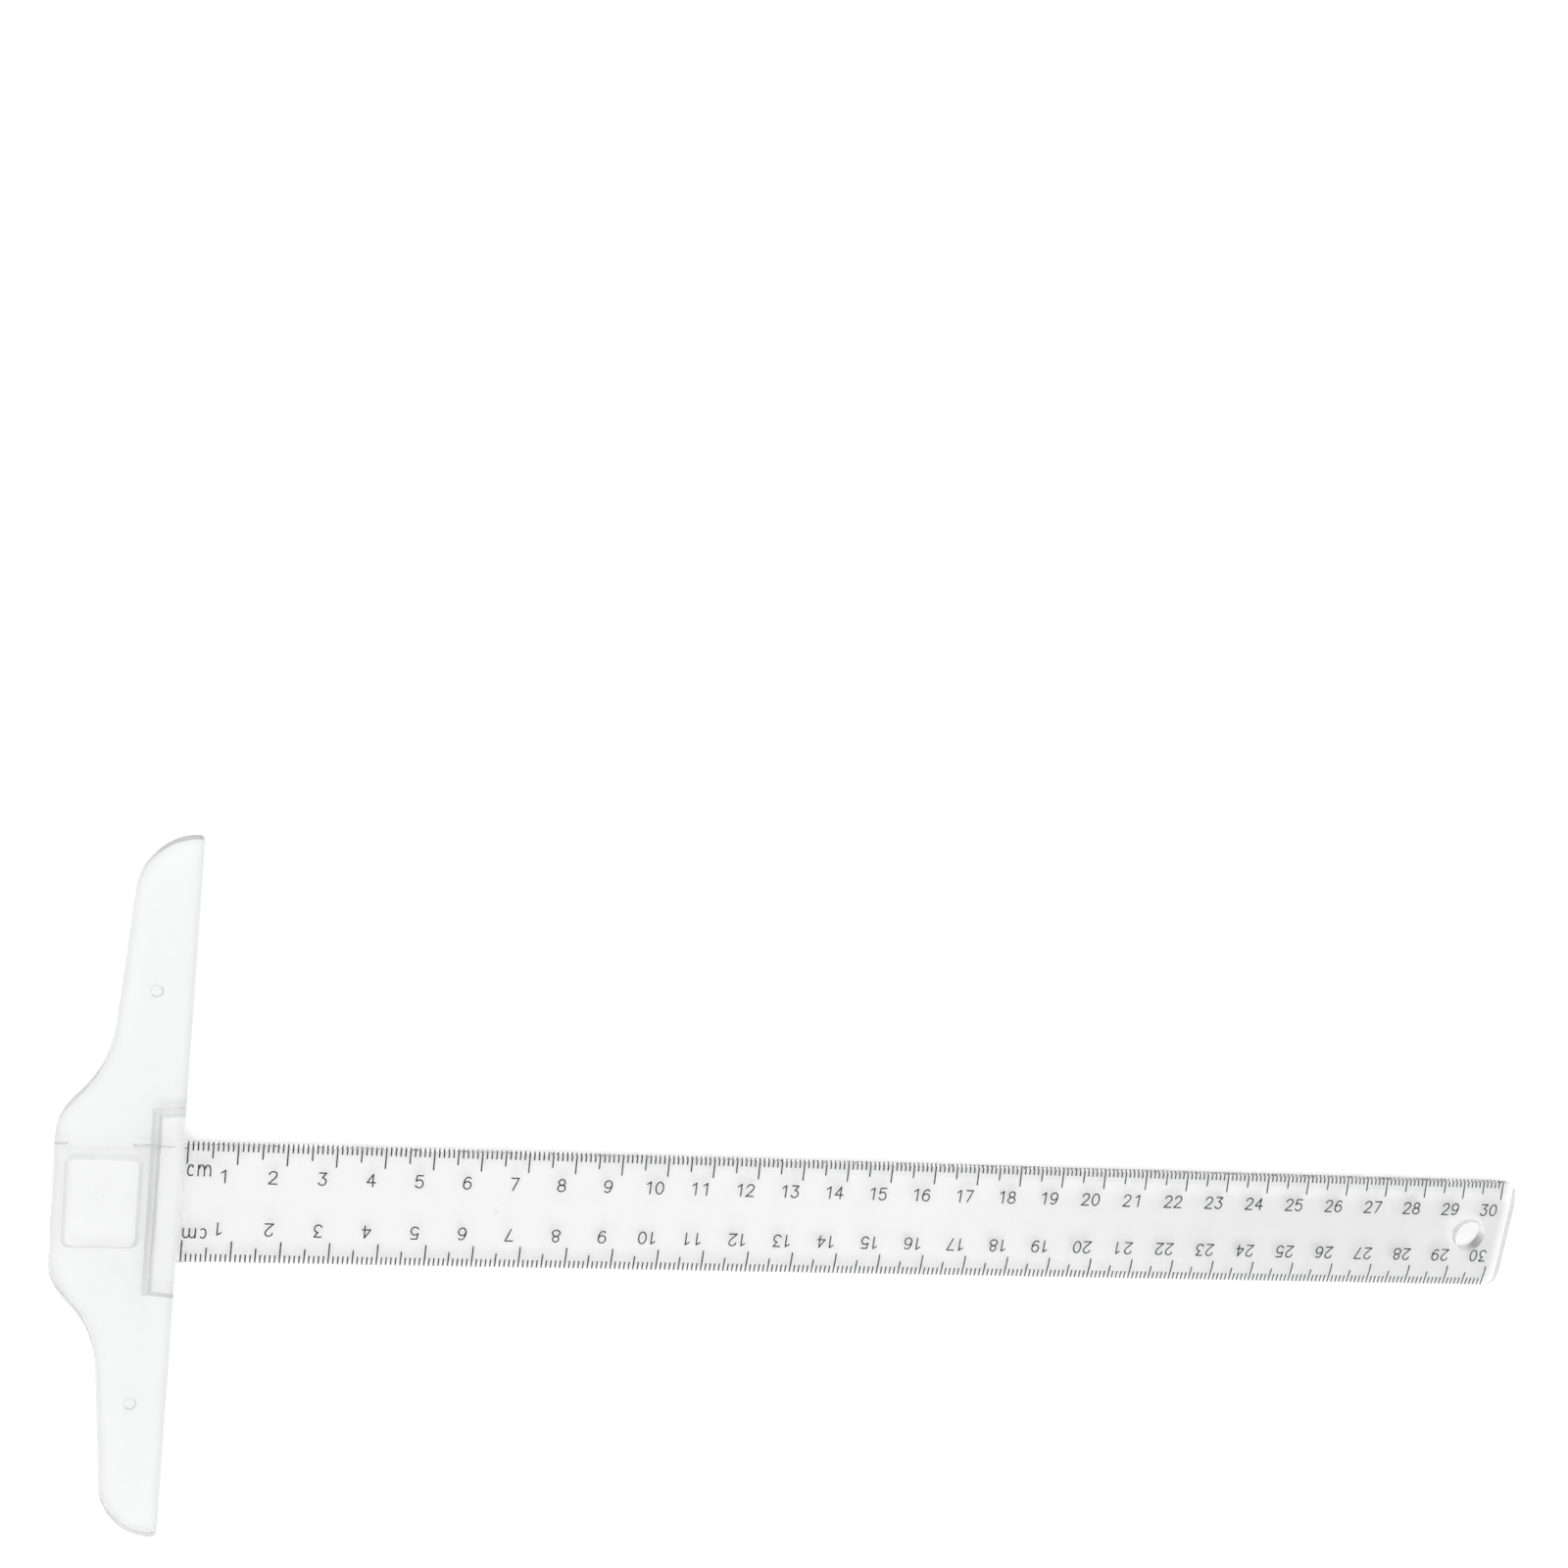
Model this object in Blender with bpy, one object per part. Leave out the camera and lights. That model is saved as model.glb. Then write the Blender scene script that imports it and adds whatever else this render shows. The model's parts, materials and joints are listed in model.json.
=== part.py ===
"""T square for drafting: a clear plastic head and a clear plastic blade, cemented square to each other.

The head is a flat plate with two swept-back arms and a channel across its middle. The blade's root is
a tongue that fills the channel, and a wide foot that lies on the head along the working edge.

Metres, +Z up. +X runs along the blade from the head to the hanging hole, +Y to the upper ruling edge.
The origin is under the middle of the whole outline, on the plane that the head lies on.
"""

import math

import bmesh
import bpy
from mathutils.geometry import interpolate_bezier

# ---- Blade --------------------------------------------------------------------------------------
BLADE_REACH = 0.3036  # from the head's working edge to the free end
BLADE_WIDTH = 0.0266
BLADE_THICKNESS = 0.0028
BLADE_EDGE_THICKNESS = 0.0014  # upright wall left under each bevel
BEVEL_RUN = 0.0047  # width of the bevel along each ruling edge
TIP_CORNER_RADIUS = 0.0020
HOLE_DIAMETER = 0.0074
HOLE_TO_TIP = 0.0097  # hole centre to the free end

# ---- Head ---------------------------------------------------------------------------------------
HEAD_LENGTH = 0.1567  # across the blade, tip to tip
HEAD_DEPTH = 0.0252  # working edge to back edge, at the middle
HEAD_THICKNESS = 0.0032
ARM_TIP_DEPTH = 0.0126  # depth of an arm where its round end starts
ARM_ROOT_DEPTH = 0.0146  # depth of an arm where it meets the shoulder
ARM_END_RUN = 0.0119  # length of the round end of an arm
SHOULDER_START = 0.0390  # from the centre line to where the shoulder meets the arm
SHOULDER_END = 0.0138  # from the centre line to where the shoulder meets the back edge
NOSE_RADIUS = 0.0010  # working-edge corner of each arm
END_FULLNESS = (0.50, 0.54)  # how far the round end's curve holds its direction at each end
SHOULDER_FULLNESS = (0.66, 0.37)  # the same for the shoulder's curve

# ---- Where the two meet -------------------------------------------------------------------------
LIP_DEPTH = 0.0017  # how far the head reaches below the blade's underside, to bear on a board's edge
TONGUE_WIDTH = 0.0252  # the blade's root, inside the head's channel
MOUTH_DEPTH = 0.0015  # how far in from the working edge the channel is wide enough for the whole blade
GLUE_GAP = 0.0003  # cement line between the two pieces, wherever they face each other

# ---- Foot: the blade's flange on top of the head, along the working edge --------------------------
FOOT_DEPTH = 0.0065  # from the working edge to its back, where it lies on the head
FOOT_HALF_LENGTH = 0.0208  # at its back
FOOT_FLARE = 0.0008  # how much longer each half is at the working edge
FOOT_BACK_SLOPE = 0.0021  # run of its sloped back wall
FOOT_SIDE_SLOPE = 0.0016  # run of its sloped side walls

# ---- Raised panel on the tongue -------------------------------------------------------------------
PANEL_DEPTH_X = 0.0153
PANEL_LENGTH_Y = 0.0208
PANEL_FROM_EDGE = 0.0077  # from the working edge to the panel's nearer side
PANEL_RISE = 0.0007
PANEL_SLOPE = 0.0008  # run of its sloped sides
PANEL_CORNER_RADIUS = 0.0018

# ---- Fineness of curves, and how far a shape passes the surface that it cuts or joins ---------------
CURVE_STEPS = 12
CORNER_STEPS = 5
HOLE_SIDES = 48
PAST = 0.0010
SINK = 0.0001  # how far a raised panel starts below the face that it stands on

# ---- Places that follow from the sizes above --------------------------------------------------------
OVERALL_LENGTH = HEAD_DEPTH + BLADE_REACH
WORKING_EDGE_X = HEAD_DEPTH - OVERALL_LENGTH / 2
BACK_EDGE_X = WORKING_EDGE_X - HEAD_DEPTH
TIP_X = WORKING_EDGE_X + BLADE_REACH
BLADE_BOTTOM_Z = LIP_DEPTH
BLADE_TOP_Z = BLADE_BOTTOM_Z + BLADE_THICKNESS


def clear_scene():
    for old in list(bpy.data.objects):
        bpy.data.objects.remove(old)


def clear_plastic(name, colour, roughness):
    material = bpy.data.materials.new(name)
    material.use_nodes = True
    shader = material.node_tree.nodes["Principled BSDF"]
    shader.inputs["Base Color"].default_value = colour
    shader.inputs["Roughness"].default_value = roughness
    shader.inputs["Metallic"].default_value = 0.0
    shader.inputs["Transmission Weight"].default_value = 1.0
    shader.inputs["IOR"].default_value = 1.49
    return material


def object_from(bm, name):
    """A new object with this mesh, its faces turned outwards."""
    bmesh.ops.recalc_face_normals(bm, faces=bm.faces)
    mesh = bpy.data.meshes.new(name)
    bm.to_mesh(mesh)
    bm.free()
    obj = bpy.data.objects.new(name, mesh)
    bpy.context.scene.collection.objects.link(obj)
    return obj


def loft(name, first, second):
    """A solid between two rings with the same number of points."""
    bm = bmesh.new()
    ring_a = [bm.verts.new(point) for point in first]
    ring_b = [bm.verts.new(point) for point in second]
    bm.faces.new(ring_a)
    bm.faces.new(ring_b)
    count = len(ring_a)
    for i in range(count):
        j = (i + 1) % count
        bm.faces.new((ring_a[i], ring_a[j], ring_b[j], ring_b[i]))
    return object_from(bm, name)


def plate(name, outline, bottom, top):
    """An outline in X and Y, raised from bottom to top."""
    return loft(name, [(x, y, bottom) for x, y in outline], [(x, y, top) for x, y in outline])


def rectangle(x_low, x_high, half_width):
    return [(x_low, -half_width), (x_high, -half_width), (x_high, half_width), (x_low, half_width)]


def arc(centre_x, centre_y, radius, start_degrees, end_degrees):
    points = []
    for i in range(CORNER_STEPS + 1):
        angle = math.radians(start_degrees + (end_degrees - start_degrees) * i / CORNER_STEPS)
        points.append((centre_x + radius * math.cos(angle), centre_y + radius * math.sin(angle)))
    return points


def rounded_rectangle(x_low, x_high, half_width, radius):
    return (
        arc(x_high - radius, half_width - radius, radius, 0, 90)
        + arc(x_low + radius, half_width - radius, radius, 90, 180)
        + arc(x_low + radius, radius - half_width, radius, 180, 270)
        + arc(x_high - radius, radius - half_width, radius, 270, 360)
    )


def smooth_run(start, start_pull, end_pull, end):
    """Points along one curve that leaves start toward start_pull and reaches end from end_pull."""
    corners = [(x, y, 0.0) for x, y in (start, start_pull, end_pull, end)]
    return [(point.x, point.y) for point in interpolate_bezier(*corners, CURVE_STEPS + 1)]


def head_outline():
    """The head seen from above: two arms swept back into a wide middle."""
    half = HEAD_LENGTH / 2
    nose_x = WORKING_EDGE_X - NOSE_RADIUS
    arm_tip_x = WORKING_EDGE_X - ARM_TIP_DEPTH
    arm_root_x = WORKING_EDGE_X - ARM_ROOT_DEPTH
    end_start_y = half - ARM_END_RUN
    lean = (ARM_ROOT_DEPTH - ARM_TIP_DEPTH) / (end_start_y - SHOULDER_START)
    round_end = smooth_run(
        (nose_x, half),
        (nose_x - END_FULLNESS[0] * (ARM_TIP_DEPTH - NOSE_RADIUS), half),
        (arm_tip_x + lean * END_FULLNESS[1] * ARM_END_RUN, end_start_y + END_FULLNESS[1] * ARM_END_RUN),
        (arm_tip_x, end_start_y),
    )
    drop = SHOULDER_START - SHOULDER_END
    shoulder = smooth_run(
        (arm_root_x, SHOULDER_START),
        (arm_root_x - lean * SHOULDER_FULLNESS[0] * drop, SHOULDER_START - SHOULDER_FULLNESS[0] * drop),
        (BACK_EDGE_X, SHOULDER_END + SHOULDER_FULLNESS[1] * drop),
        (BACK_EDGE_X, SHOULDER_END),
    )
    nose = arc(nose_x, half - NOSE_RADIUS, NOSE_RADIUS, 0, 90)
    upper = nose + round_end[1:] + shoulder
    lower = [(x, -y) for x, y in reversed(upper)]
    return upper + lower


def blade_section(x, underside):
    """The blade's cross-section at x: flat underside, short upright edges, a bevel along each."""
    half = BLADE_WIDTH / 2
    edge_top = BLADE_BOTTOM_Z + BLADE_EDGE_THICKNESS
    return [
        (x, half, underside),
        (x, half, edge_top),
        (x, half - BEVEL_RUN, BLADE_TOP_Z),
        (x, -half + BEVEL_RUN, BLADE_TOP_Z),
        (x, -half, edge_top),
        (x, -half, underside),
    ]


def foot_ring(z):
    """The foot's outline at height z: its back and sides lean in as it rises from the head's top."""
    rise = (z - HEAD_THICKNESS) / (BLADE_TOP_Z - HEAD_THICKNESS)
    flare = FOOT_FLARE / FOOT_DEPTH
    back = WORKING_EDGE_X - FOOT_DEPTH + FOOT_BACK_SLOPE * rise
    front_half = FOOT_HALF_LENGTH + FOOT_FLARE - FOOT_SIDE_SLOPE * rise
    back_half = front_half - flare * (WORKING_EDGE_X - back)
    return [
        (back, back_half, z),
        (WORKING_EDGE_X, front_half, z),
        (WORKING_EDGE_X, -front_half, z),
        (back, -back_half, z),
    ]


def panel_ring(z):
    """The panel's outline at height z, narrower as it rises from the tongue's top."""
    inset = PANEL_SLOPE * (z - HEAD_THICKNESS) / PANEL_RISE
    near_x = WORKING_EDGE_X - PANEL_FROM_EDGE
    outline = rounded_rectangle(
        near_x - PANEL_DEPTH_X + inset,
        near_x - inset,
        PANEL_LENGTH_Y / 2 - inset,
        PANEL_CORNER_RADIUS - inset / 2,
    )
    return [(x, y, z) for x, y in outline]


def combine(target, other, operation):
    """Adds other to target, cuts it away or keeps what they share. other stays as a hidden guide."""
    modifier = target.modifiers.new(other.name, "BOOLEAN")
    modifier.operation = operation
    modifier.object = other
    other.hide_render = True
    other.display_type = "WIRE"


def make_head():
    head = plate("head", head_outline(), 0.0, HEAD_THICKNESS)
    channel = plate(
        "channel_cutter",
        rectangle(BACK_EDGE_X - PAST, WORKING_EDGE_X + PAST, TONGUE_WIDTH / 2 + GLUE_GAP),
        BLADE_BOTTOM_Z,
        HEAD_THICKNESS + PAST,
    )
    mouth = plate(
        "mouth_cutter",
        rectangle(WORKING_EDGE_X - MOUTH_DEPTH, WORKING_EDGE_X + PAST, BLADE_WIDTH / 2 + GLUE_GAP),
        BLADE_BOTTOM_Z,
        HEAD_THICKNESS + PAST,
    )
    combine(head, channel, "DIFFERENCE")
    combine(head, mouth, "DIFFERENCE")
    return head


def make_blade():
    slab_start = WORKING_EDGE_X + GLUE_GAP
    blade = loft("blade", blade_section(slab_start, BLADE_BOTTOM_Z), blade_section(TIP_X, BLADE_BOTTOM_Z))
    raised = BLADE_BOTTOM_Z + GLUE_GAP
    root = loft(
        "root",
        blade_section(WORKING_EDGE_X - MOUTH_DEPTH + GLUE_GAP, raised),
        blade_section(slab_start + PAST, raised),
    )
    tongue = plate(
        "tongue", rectangle(BACK_EDGE_X, slab_start + PAST, TONGUE_WIDTH / 2), raised, HEAD_THICKNESS
    )
    neck = plate(
        "neck",
        rectangle(foot_ring(BLADE_TOP_Z)[0][0], slab_start + PAST, TONGUE_WIDTH / 2),
        HEAD_THICKNESS - PAST,
        BLADE_TOP_Z,
    )
    foot = loft("foot", foot_ring(HEAD_THICKNESS + GLUE_GAP), foot_ring(BLADE_TOP_Z))
    panel = loft("panel", panel_ring(HEAD_THICKNESS - SINK), panel_ring(HEAD_THICKNESS + PANEL_RISE))
    for part in (root, tongue, neck, foot, panel):
        combine(blade, part, "UNION")

    half = BLADE_WIDTH / 2
    corner_x, corner_y = TIP_X - TIP_CORNER_RADIUS, half - TIP_CORNER_RADIUS
    wide = HEAD_LENGTH / 2
    tip_outline = (
        arc(corner_x, corner_y, TIP_CORNER_RADIUS, 0, 90)[:-1]
        + [(corner_x, wide), (BACK_EDGE_X - PAST, wide), (BACK_EDGE_X - PAST, -wide), (corner_x, -wide)]
        + arc(corner_x, -corner_y, TIP_CORNER_RADIUS, 270, 360)[1:]
    )
    below, above = BLADE_BOTTOM_Z - PAST, BLADE_TOP_Z + PAST
    combine(blade, plate("tip_outline", tip_outline, below, above), "INTERSECT")
    hole_x = TIP_X - HOLE_TO_TIP
    ring = [
        (
            hole_x + HOLE_DIAMETER / 2 * math.cos(math.tau * i / HOLE_SIDES),
            HOLE_DIAMETER / 2 * math.sin(math.tau * i / HOLE_SIDES),
        )
        for i in range(HOLE_SIDES)
    ]
    combine(blade, plate("hole_cutter", ring, below, above), "DIFFERENCE")
    return blade


clear_scene()
plastic = clear_plastic("clear_plastic", (0.93, 0.94, 0.94, 1.0), 0.08)
for piece in (make_head(), make_blade()):
    piece.data.materials.append(plastic)
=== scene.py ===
# %% [markdown]
# # A clear plastic T square
# A T square has two pieces. The head slides along the edge of a drawing board, and the blade, cemented
# across it, rules straight lines. Both are moulded from clear plastic. What makes that look real is the
# way light bends at every edge and small mould mark, and the black scale printed along both edges.

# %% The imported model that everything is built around
import json
import math

import bmesh
import bpy
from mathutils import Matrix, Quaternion, Vector
from mathutils.geometry import interpolate_bezier

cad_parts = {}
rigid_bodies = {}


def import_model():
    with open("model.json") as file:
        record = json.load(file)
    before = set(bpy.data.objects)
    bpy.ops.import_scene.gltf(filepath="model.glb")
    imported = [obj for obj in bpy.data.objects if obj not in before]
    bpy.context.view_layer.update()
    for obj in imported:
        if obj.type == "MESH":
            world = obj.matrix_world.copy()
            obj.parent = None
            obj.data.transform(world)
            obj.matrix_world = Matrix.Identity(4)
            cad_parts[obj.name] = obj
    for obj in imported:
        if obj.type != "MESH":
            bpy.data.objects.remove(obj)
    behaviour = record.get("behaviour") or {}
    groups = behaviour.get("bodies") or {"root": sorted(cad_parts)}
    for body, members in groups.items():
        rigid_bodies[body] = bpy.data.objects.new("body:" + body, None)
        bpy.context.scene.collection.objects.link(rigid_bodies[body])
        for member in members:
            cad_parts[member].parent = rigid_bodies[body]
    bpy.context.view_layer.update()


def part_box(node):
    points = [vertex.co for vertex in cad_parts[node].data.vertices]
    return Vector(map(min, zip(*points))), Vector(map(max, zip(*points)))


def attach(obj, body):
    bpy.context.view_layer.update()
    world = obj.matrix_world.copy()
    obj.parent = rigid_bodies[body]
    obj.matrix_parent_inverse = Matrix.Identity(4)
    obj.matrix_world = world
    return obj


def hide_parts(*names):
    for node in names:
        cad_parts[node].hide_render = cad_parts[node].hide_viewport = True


for old in list(bpy.data.objects):
    bpy.data.objects.remove(old)
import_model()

# %% [markdown]
# Every size below is in millimetres, because that is how a mould maker gives it. One number, MM, turns
# it into metres when a mesh is made. Places along the blade count from the working edge, the straight
# side of the head, because everything on the real thing is laid out from there.

# %% Main lines of the two pieces
MM = 0.001
head_low, head_high = (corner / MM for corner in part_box("head"))
blade_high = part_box("blade")[1] / MM
EDGE_X = head_high.x  # the working edge
BACK_X = head_low.x
TIP_X = blade_high.x
HEAD_TOP = head_high.z
BLADE_TOP = blade_high.z
BLADE_BOTTOM = 1.7  # the head reaches this far below the blade, to bear on a board's edge
BLADE_HALF = 13.3
TONGUE_HALF = 12.6  # the part of the blade that lies in the head is narrower
print(f"working edge at x = {EDGE_X:.2f}, blade {TIP_X - EDGE_X:.2f} long, its top at {BLADE_TOP:.2f}")

# %% [markdown]
# ## Helpers for solid shapes
# A moulded edge is never sharp: the mould wears and the plastic shrinks, so each rim has a radius of a
# few tenths of a millimetre. It could be rounded with a Bevel modifier, but that has trouble where a
# curved outline has many short sides. Here a shape is a stack of rings instead. Each ring is the same
# outline drawn in a little at its own height, and the rims come out round by construction.

# %% Points along arcs and curves
CURVE_STEPS = 40
CORNER_STEPS = 10
RIM_STEPS = 4


def arc(centre_x, centre_y, radius, start, end, steps=CORNER_STEPS):
    points = []
    for i in range(steps + 1):
        angle = math.radians(start + (end - start) * i / steps)
        points.append((centre_x + radius * math.cos(angle), centre_y + radius * math.sin(angle)))
    return points


def sweep(start, start_pull, end_pull, end):
    corners = [(x, y, 0.0) for x, y in (start, start_pull, end_pull, end)]
    return [(point.x, point.y) for point in interpolate_bezier(*corners, CURVE_STEPS + 1)]


def box_outline(x_low, x_high, half):
    return [(x_low, -half), (x_high, -half), (x_high, half), (x_low, half)]


def round_box_outline(x_low, x_high, half, radius):
    return (
        arc(x_high - radius, half - radius, radius, 0, 90)
        + arc(x_low + radius, half - radius, radius, 90, 180)
        + arc(x_low + radius, radius - half, radius, 180, 270)
        + arc(x_high - radius, radius - half, radius, 270, 360)
    )


print("points on a quarter circle:", len(arc(0, 0, 1, 0, 90)))


# %% An outline drawn in, and a solid from a stack of rings
def drawn_in(outline, inset):
    """The same outline with every side moved inwards. It runs counter-clockwise."""
    count = len(outline)
    moved = []
    for i, (x, y) in enumerate(outline):
        before = Vector((x - outline[i - 1][0], y - outline[i - 1][1]))
        after_x, after_y = outline[(i + 1) % count]
        after = Vector((after_x - x, after_y - y))
        before.normalize()
        after.normalize()
        inward = Vector((-before.y - after.y, before.x + after.x)) / (1 + before.dot(after))
        moved.append((x + inset * inward.x, y + inset * inward.y))
    return moved


def object_from(bm, name):
    bmesh.ops.recalc_face_normals(bm, faces=bm.faces)
    mesh = bpy.data.meshes.new(name)
    bm.to_mesh(mesh)
    bm.free()
    obj = bpy.data.objects.new(name, mesh)
    bpy.context.scene.collection.objects.link(obj)
    return obj


def stack(name, rings):
    """A closed solid through rings of points in millimetres, each with as many points as the next."""
    bm = bmesh.new()
    layers = [[bm.verts.new(Vector(point) * MM) for point in ring] for ring in rings]
    for lower, upper in zip(layers, layers[1:]):
        for i in range(len(lower)):
            j = (i + 1) % len(lower)
            bm.faces.new((lower[i], lower[j], upper[j], upper[i]))
    bm.faces.new(list(reversed(layers[0])))
    bm.faces.new(layers[-1])
    return object_from(bm, name)


def soft_plate(name, outline, bottom, top, lower_rim=0.0, upper_rim=0.0):
    """A flat plate whose lower and upper rims are rounded by these radii."""
    rings = []
    for radius, level, way in ((lower_rim, bottom, 1), (upper_rim, top, -1)):
        steps = RIM_STEPS if radius else 0
        rim = []
        for i in range(steps + 1):
            turn = math.radians(90 * i / steps) if steps else 0.0
            inset, rise = radius * (1 - math.sin(turn)), radius * (1 - math.cos(turn))
            rim.append([(x, y, level + way * rise) for x, y in drawn_in(outline, inset)])
        rings += rim if way > 0 else list(reversed(rim))
    return stack(name, rings)


test_plate = soft_plate("test_plate", round_box_outline(0, 10, 5, 2), 0, 3, 0.3, 0.3)
print("a test plate measures", [round(side / MM, 2) for side in test_plate.dimensions])
bpy.data.objects.remove(test_plate)


# %% Joining and cutting
def combine(target, tool, operation):
    """Joins a tool shape to the target, cuts it away or keeps what both share. The tool is used up."""
    modifier = target.modifiers.new("combine", "BOOLEAN")
    modifier.operation = operation
    modifier.object = tool
    modifier.solver = "EXACT"
    bpy.context.view_layer.update()
    evaluated = target.evaluated_get(bpy.context.evaluated_depsgraph_get())
    finished = bpy.data.meshes.new_from_object(evaluated)
    target.modifiers.clear()
    target.data = finished
    bpy.data.objects.remove(tool)


def triangles(obj):
    """How many triangles the object's faces make."""
    obj.data.calc_loop_triangles()
    return len(obj.data.loop_triangles)


print("combine joins with UNION, cuts with DIFFERENCE and keeps the shared part with INTERSECT")

# %% [markdown]
# ## The head
# The head is one flat moulding. Two arms sweep back from a wide middle, and their far ends are round, so
# that nothing catches on a sleeve. A Bezier curve suits the round ends and the shoulders: it leaves one
# line and arrives at the next in the right direction, as a draftsman's spline does. The channel that the
# blade's root lies in is then cut across the middle.

# %% The head's outline
HEAD_LENGTH = (head_high - head_low).y
ARM_TIP_DEPTH = 12.6
ARM_ROOT_DEPTH = 14.6
ARM_END_RUN = 11.9
SHOULDER_START = 39.0
SHOULDER_END = 13.8
NOSE_RADIUS = 1.0
END_FULLNESS = (0.50, 0.54)  # how far each end of the curve pulls it outwards
SHOULDER_FULLNESS = (0.66, 0.37)


def head_outline():
    """The head seen from above: the upper half, then the same points mirrored."""
    half = HEAD_LENGTH / 2
    nose_x = EDGE_X - NOSE_RADIUS
    arm_tip_x, arm_root_x = EDGE_X - ARM_TIP_DEPTH, EDGE_X - ARM_ROOT_DEPTH
    end_start = half - ARM_END_RUN
    lean = (ARM_ROOT_DEPTH - ARM_TIP_DEPTH) / (end_start - SHOULDER_START)
    round_end = sweep(
        (nose_x, half),
        (nose_x - END_FULLNESS[0] * (ARM_TIP_DEPTH - NOSE_RADIUS), half),
        (arm_tip_x + lean * END_FULLNESS[1] * ARM_END_RUN, end_start + END_FULLNESS[1] * ARM_END_RUN),
        (arm_tip_x, end_start),
    )
    drop = SHOULDER_START - SHOULDER_END
    shoulder = sweep(
        (arm_root_x, SHOULDER_START),
        (arm_root_x - lean * SHOULDER_FULLNESS[0] * drop, SHOULDER_START - SHOULDER_FULLNESS[0] * drop),
        (BACK_X, SHOULDER_END + SHOULDER_FULLNESS[1] * drop),
        (BACK_X, SHOULDER_END),
    )
    upper = arc(nose_x, half - NOSE_RADIUS, NOSE_RADIUS, 0, 90) + round_end[1:] + shoulder
    return upper + [(x, -y) for x, y in reversed(upper)]


outline = head_outline()
print(len(outline), "points round the head")

# %% The head with its channel, and the marks that the ejector pins left
HEAD_RIM = 0.12
MOUTH_DEPTH = 1.5
CEMENT = 0.02  # the film of cement that fills the joint
OVER = 1.0  # how far a cutting shape reaches past what it cuts
MARK_FROM_EDGE = 7.3
MARK_OUT = 46.3
MARK_RADIUS = 1.4
MARK_SLOPE = 0.35
MARK_DEPTH = 0.2

head = soft_plate("head_plate", outline, head_low.z, HEAD_TOP, HEAD_RIM, HEAD_RIM)


def channel_box(name, x_low, half):
    outline = box_outline(x_low, EDGE_X + OVER, half + CEMENT)
    return soft_plate(name, outline, BLADE_BOTTOM, HEAD_TOP + OVER)


def ejector_mark(side):
    """What an ejector pin pressed into the top of one arm: a shallow pan with sloping sides."""
    rings = []
    for radius, level in (
        (MARK_RADIUS - MARK_SLOPE, HEAD_TOP - MARK_DEPTH),
        (MARK_RADIUS, HEAD_TOP),
        (MARK_RADIUS, HEAD_TOP + OVER),
    ):
        around = arc(EDGE_X - MARK_FROM_EDGE, side * MARK_OUT, radius, 0, 345, 23)
        rings.append([(x, y, level) for x, y in around])
    return stack("ejector_mark", rings)


combine(head, channel_box("channel", BACK_X - OVER, TONGUE_HALF), "DIFFERENCE")
combine(head, channel_box("mouth", EDGE_X - MOUTH_DEPTH, BLADE_HALF), "DIFFERENCE")
for side in (1, -1):
    combine(head, ejector_mark(side), "DIFFERENCE")
print("head:", triangles(head), "triangles")

# %% [markdown]
# ## The blade
# The blade is a long flat bar whose two ruling edges are bevelled, so that a pen's ink doesn't creep
# under it and so that the scale sits close to the paper. At its root it becomes three things: a tongue
# that fills the channel in the head, a wide foot that lies on the head to hold the two square, and a
# low raised panel. They are made one by one and joined.

# %% The long bar and its bevels
BAR_START = EDGE_X + CEMENT
WALL_HEIGHT = 1.4
BEVEL_RUN = 4.0
WALL_TO_BEVEL = ((0.0, -0.12), (0.04, -0.04), (0.15, 0.02))  # millimetres in and up from the wall's top
BEVEL_TO_TOP = ((0.3, -0.04), (0.8, 0.0))  # millimetres in and up from the bevel's end
ROOT_OVERLAP = 0.05
TONGUE_SHORT = 0.02  # the tongue stops this far inside the head's back


def bar_ring(x):
    """The bar's cross-section at x: flat underside, upright walls and a bevel along each side."""
    wall_top = BLADE_BOTTOM + WALL_HEIGHT
    upper = [(x, BLADE_HALF, BLADE_BOTTOM)]
    upper += [(x, BLADE_HALF - into, wall_top + up) for into, up in WALL_TO_BEVEL]
    upper += [(x, BLADE_HALF - BEVEL_RUN - into, BLADE_TOP + up) for into, up in BEVEL_TO_TOP]
    return upper + [(x, -y, z) for x, y, z in reversed(upper)]


blade = stack("blade_bar", [bar_ring(BAR_START), bar_ring(TIP_X)])
raised = BLADE_BOTTOM + CEMENT
root = box_outline(EDGE_X - MOUTH_DEPTH + CEMENT, BAR_START + ROOT_OVERLAP, BLADE_HALF)
combine(blade, soft_plate("root", root, raised, HEAD_TOP), "UNION")
tongue = box_outline(BACK_X + TONGUE_SHORT, BAR_START + OVER, TONGUE_HALF)
combine(blade, soft_plate("tongue", tongue, raised, HEAD_TOP), "UNION")
print("bar and tongue:", triangles(blade), "triangles")

# %% The foot across the head
FOOT_DEPTH = 6.5
FOOT_HALF = 20.8
FOOT_FLARE = 0.8
FOOT_BACK_SLOPE = 2.1
FOOT_SIDE_SLOPE = 1.6
FOOT_RIM = 0.25
BEND_AT = 0.45  # the foot's slope bends this far up
BEND_IN = 0.4
JOIN = 0.3  # how deep joined shapes reach into each other


def foot_ring(level, grown=0.0):
    """The foot's outline at a height: its back and sides lean in as it rises."""
    rise = (level - HEAD_TOP) / (BLADE_TOP - HEAD_TOP)
    back = EDGE_X - FOOT_DEPTH + FOOT_BACK_SLOPE * rise - grown
    front_half = FOOT_HALF + FOOT_FLARE - FOOT_SIDE_SLOPE * rise + grown
    back_half = front_half - FOOT_FLARE / FOOT_DEPTH * (EDGE_X - back)
    return [
        (back, -back_half, level),
        (EDGE_X, -front_half, level),
        (EDGE_X, front_half, level),
        (back, back_half, level),
    ]


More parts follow.
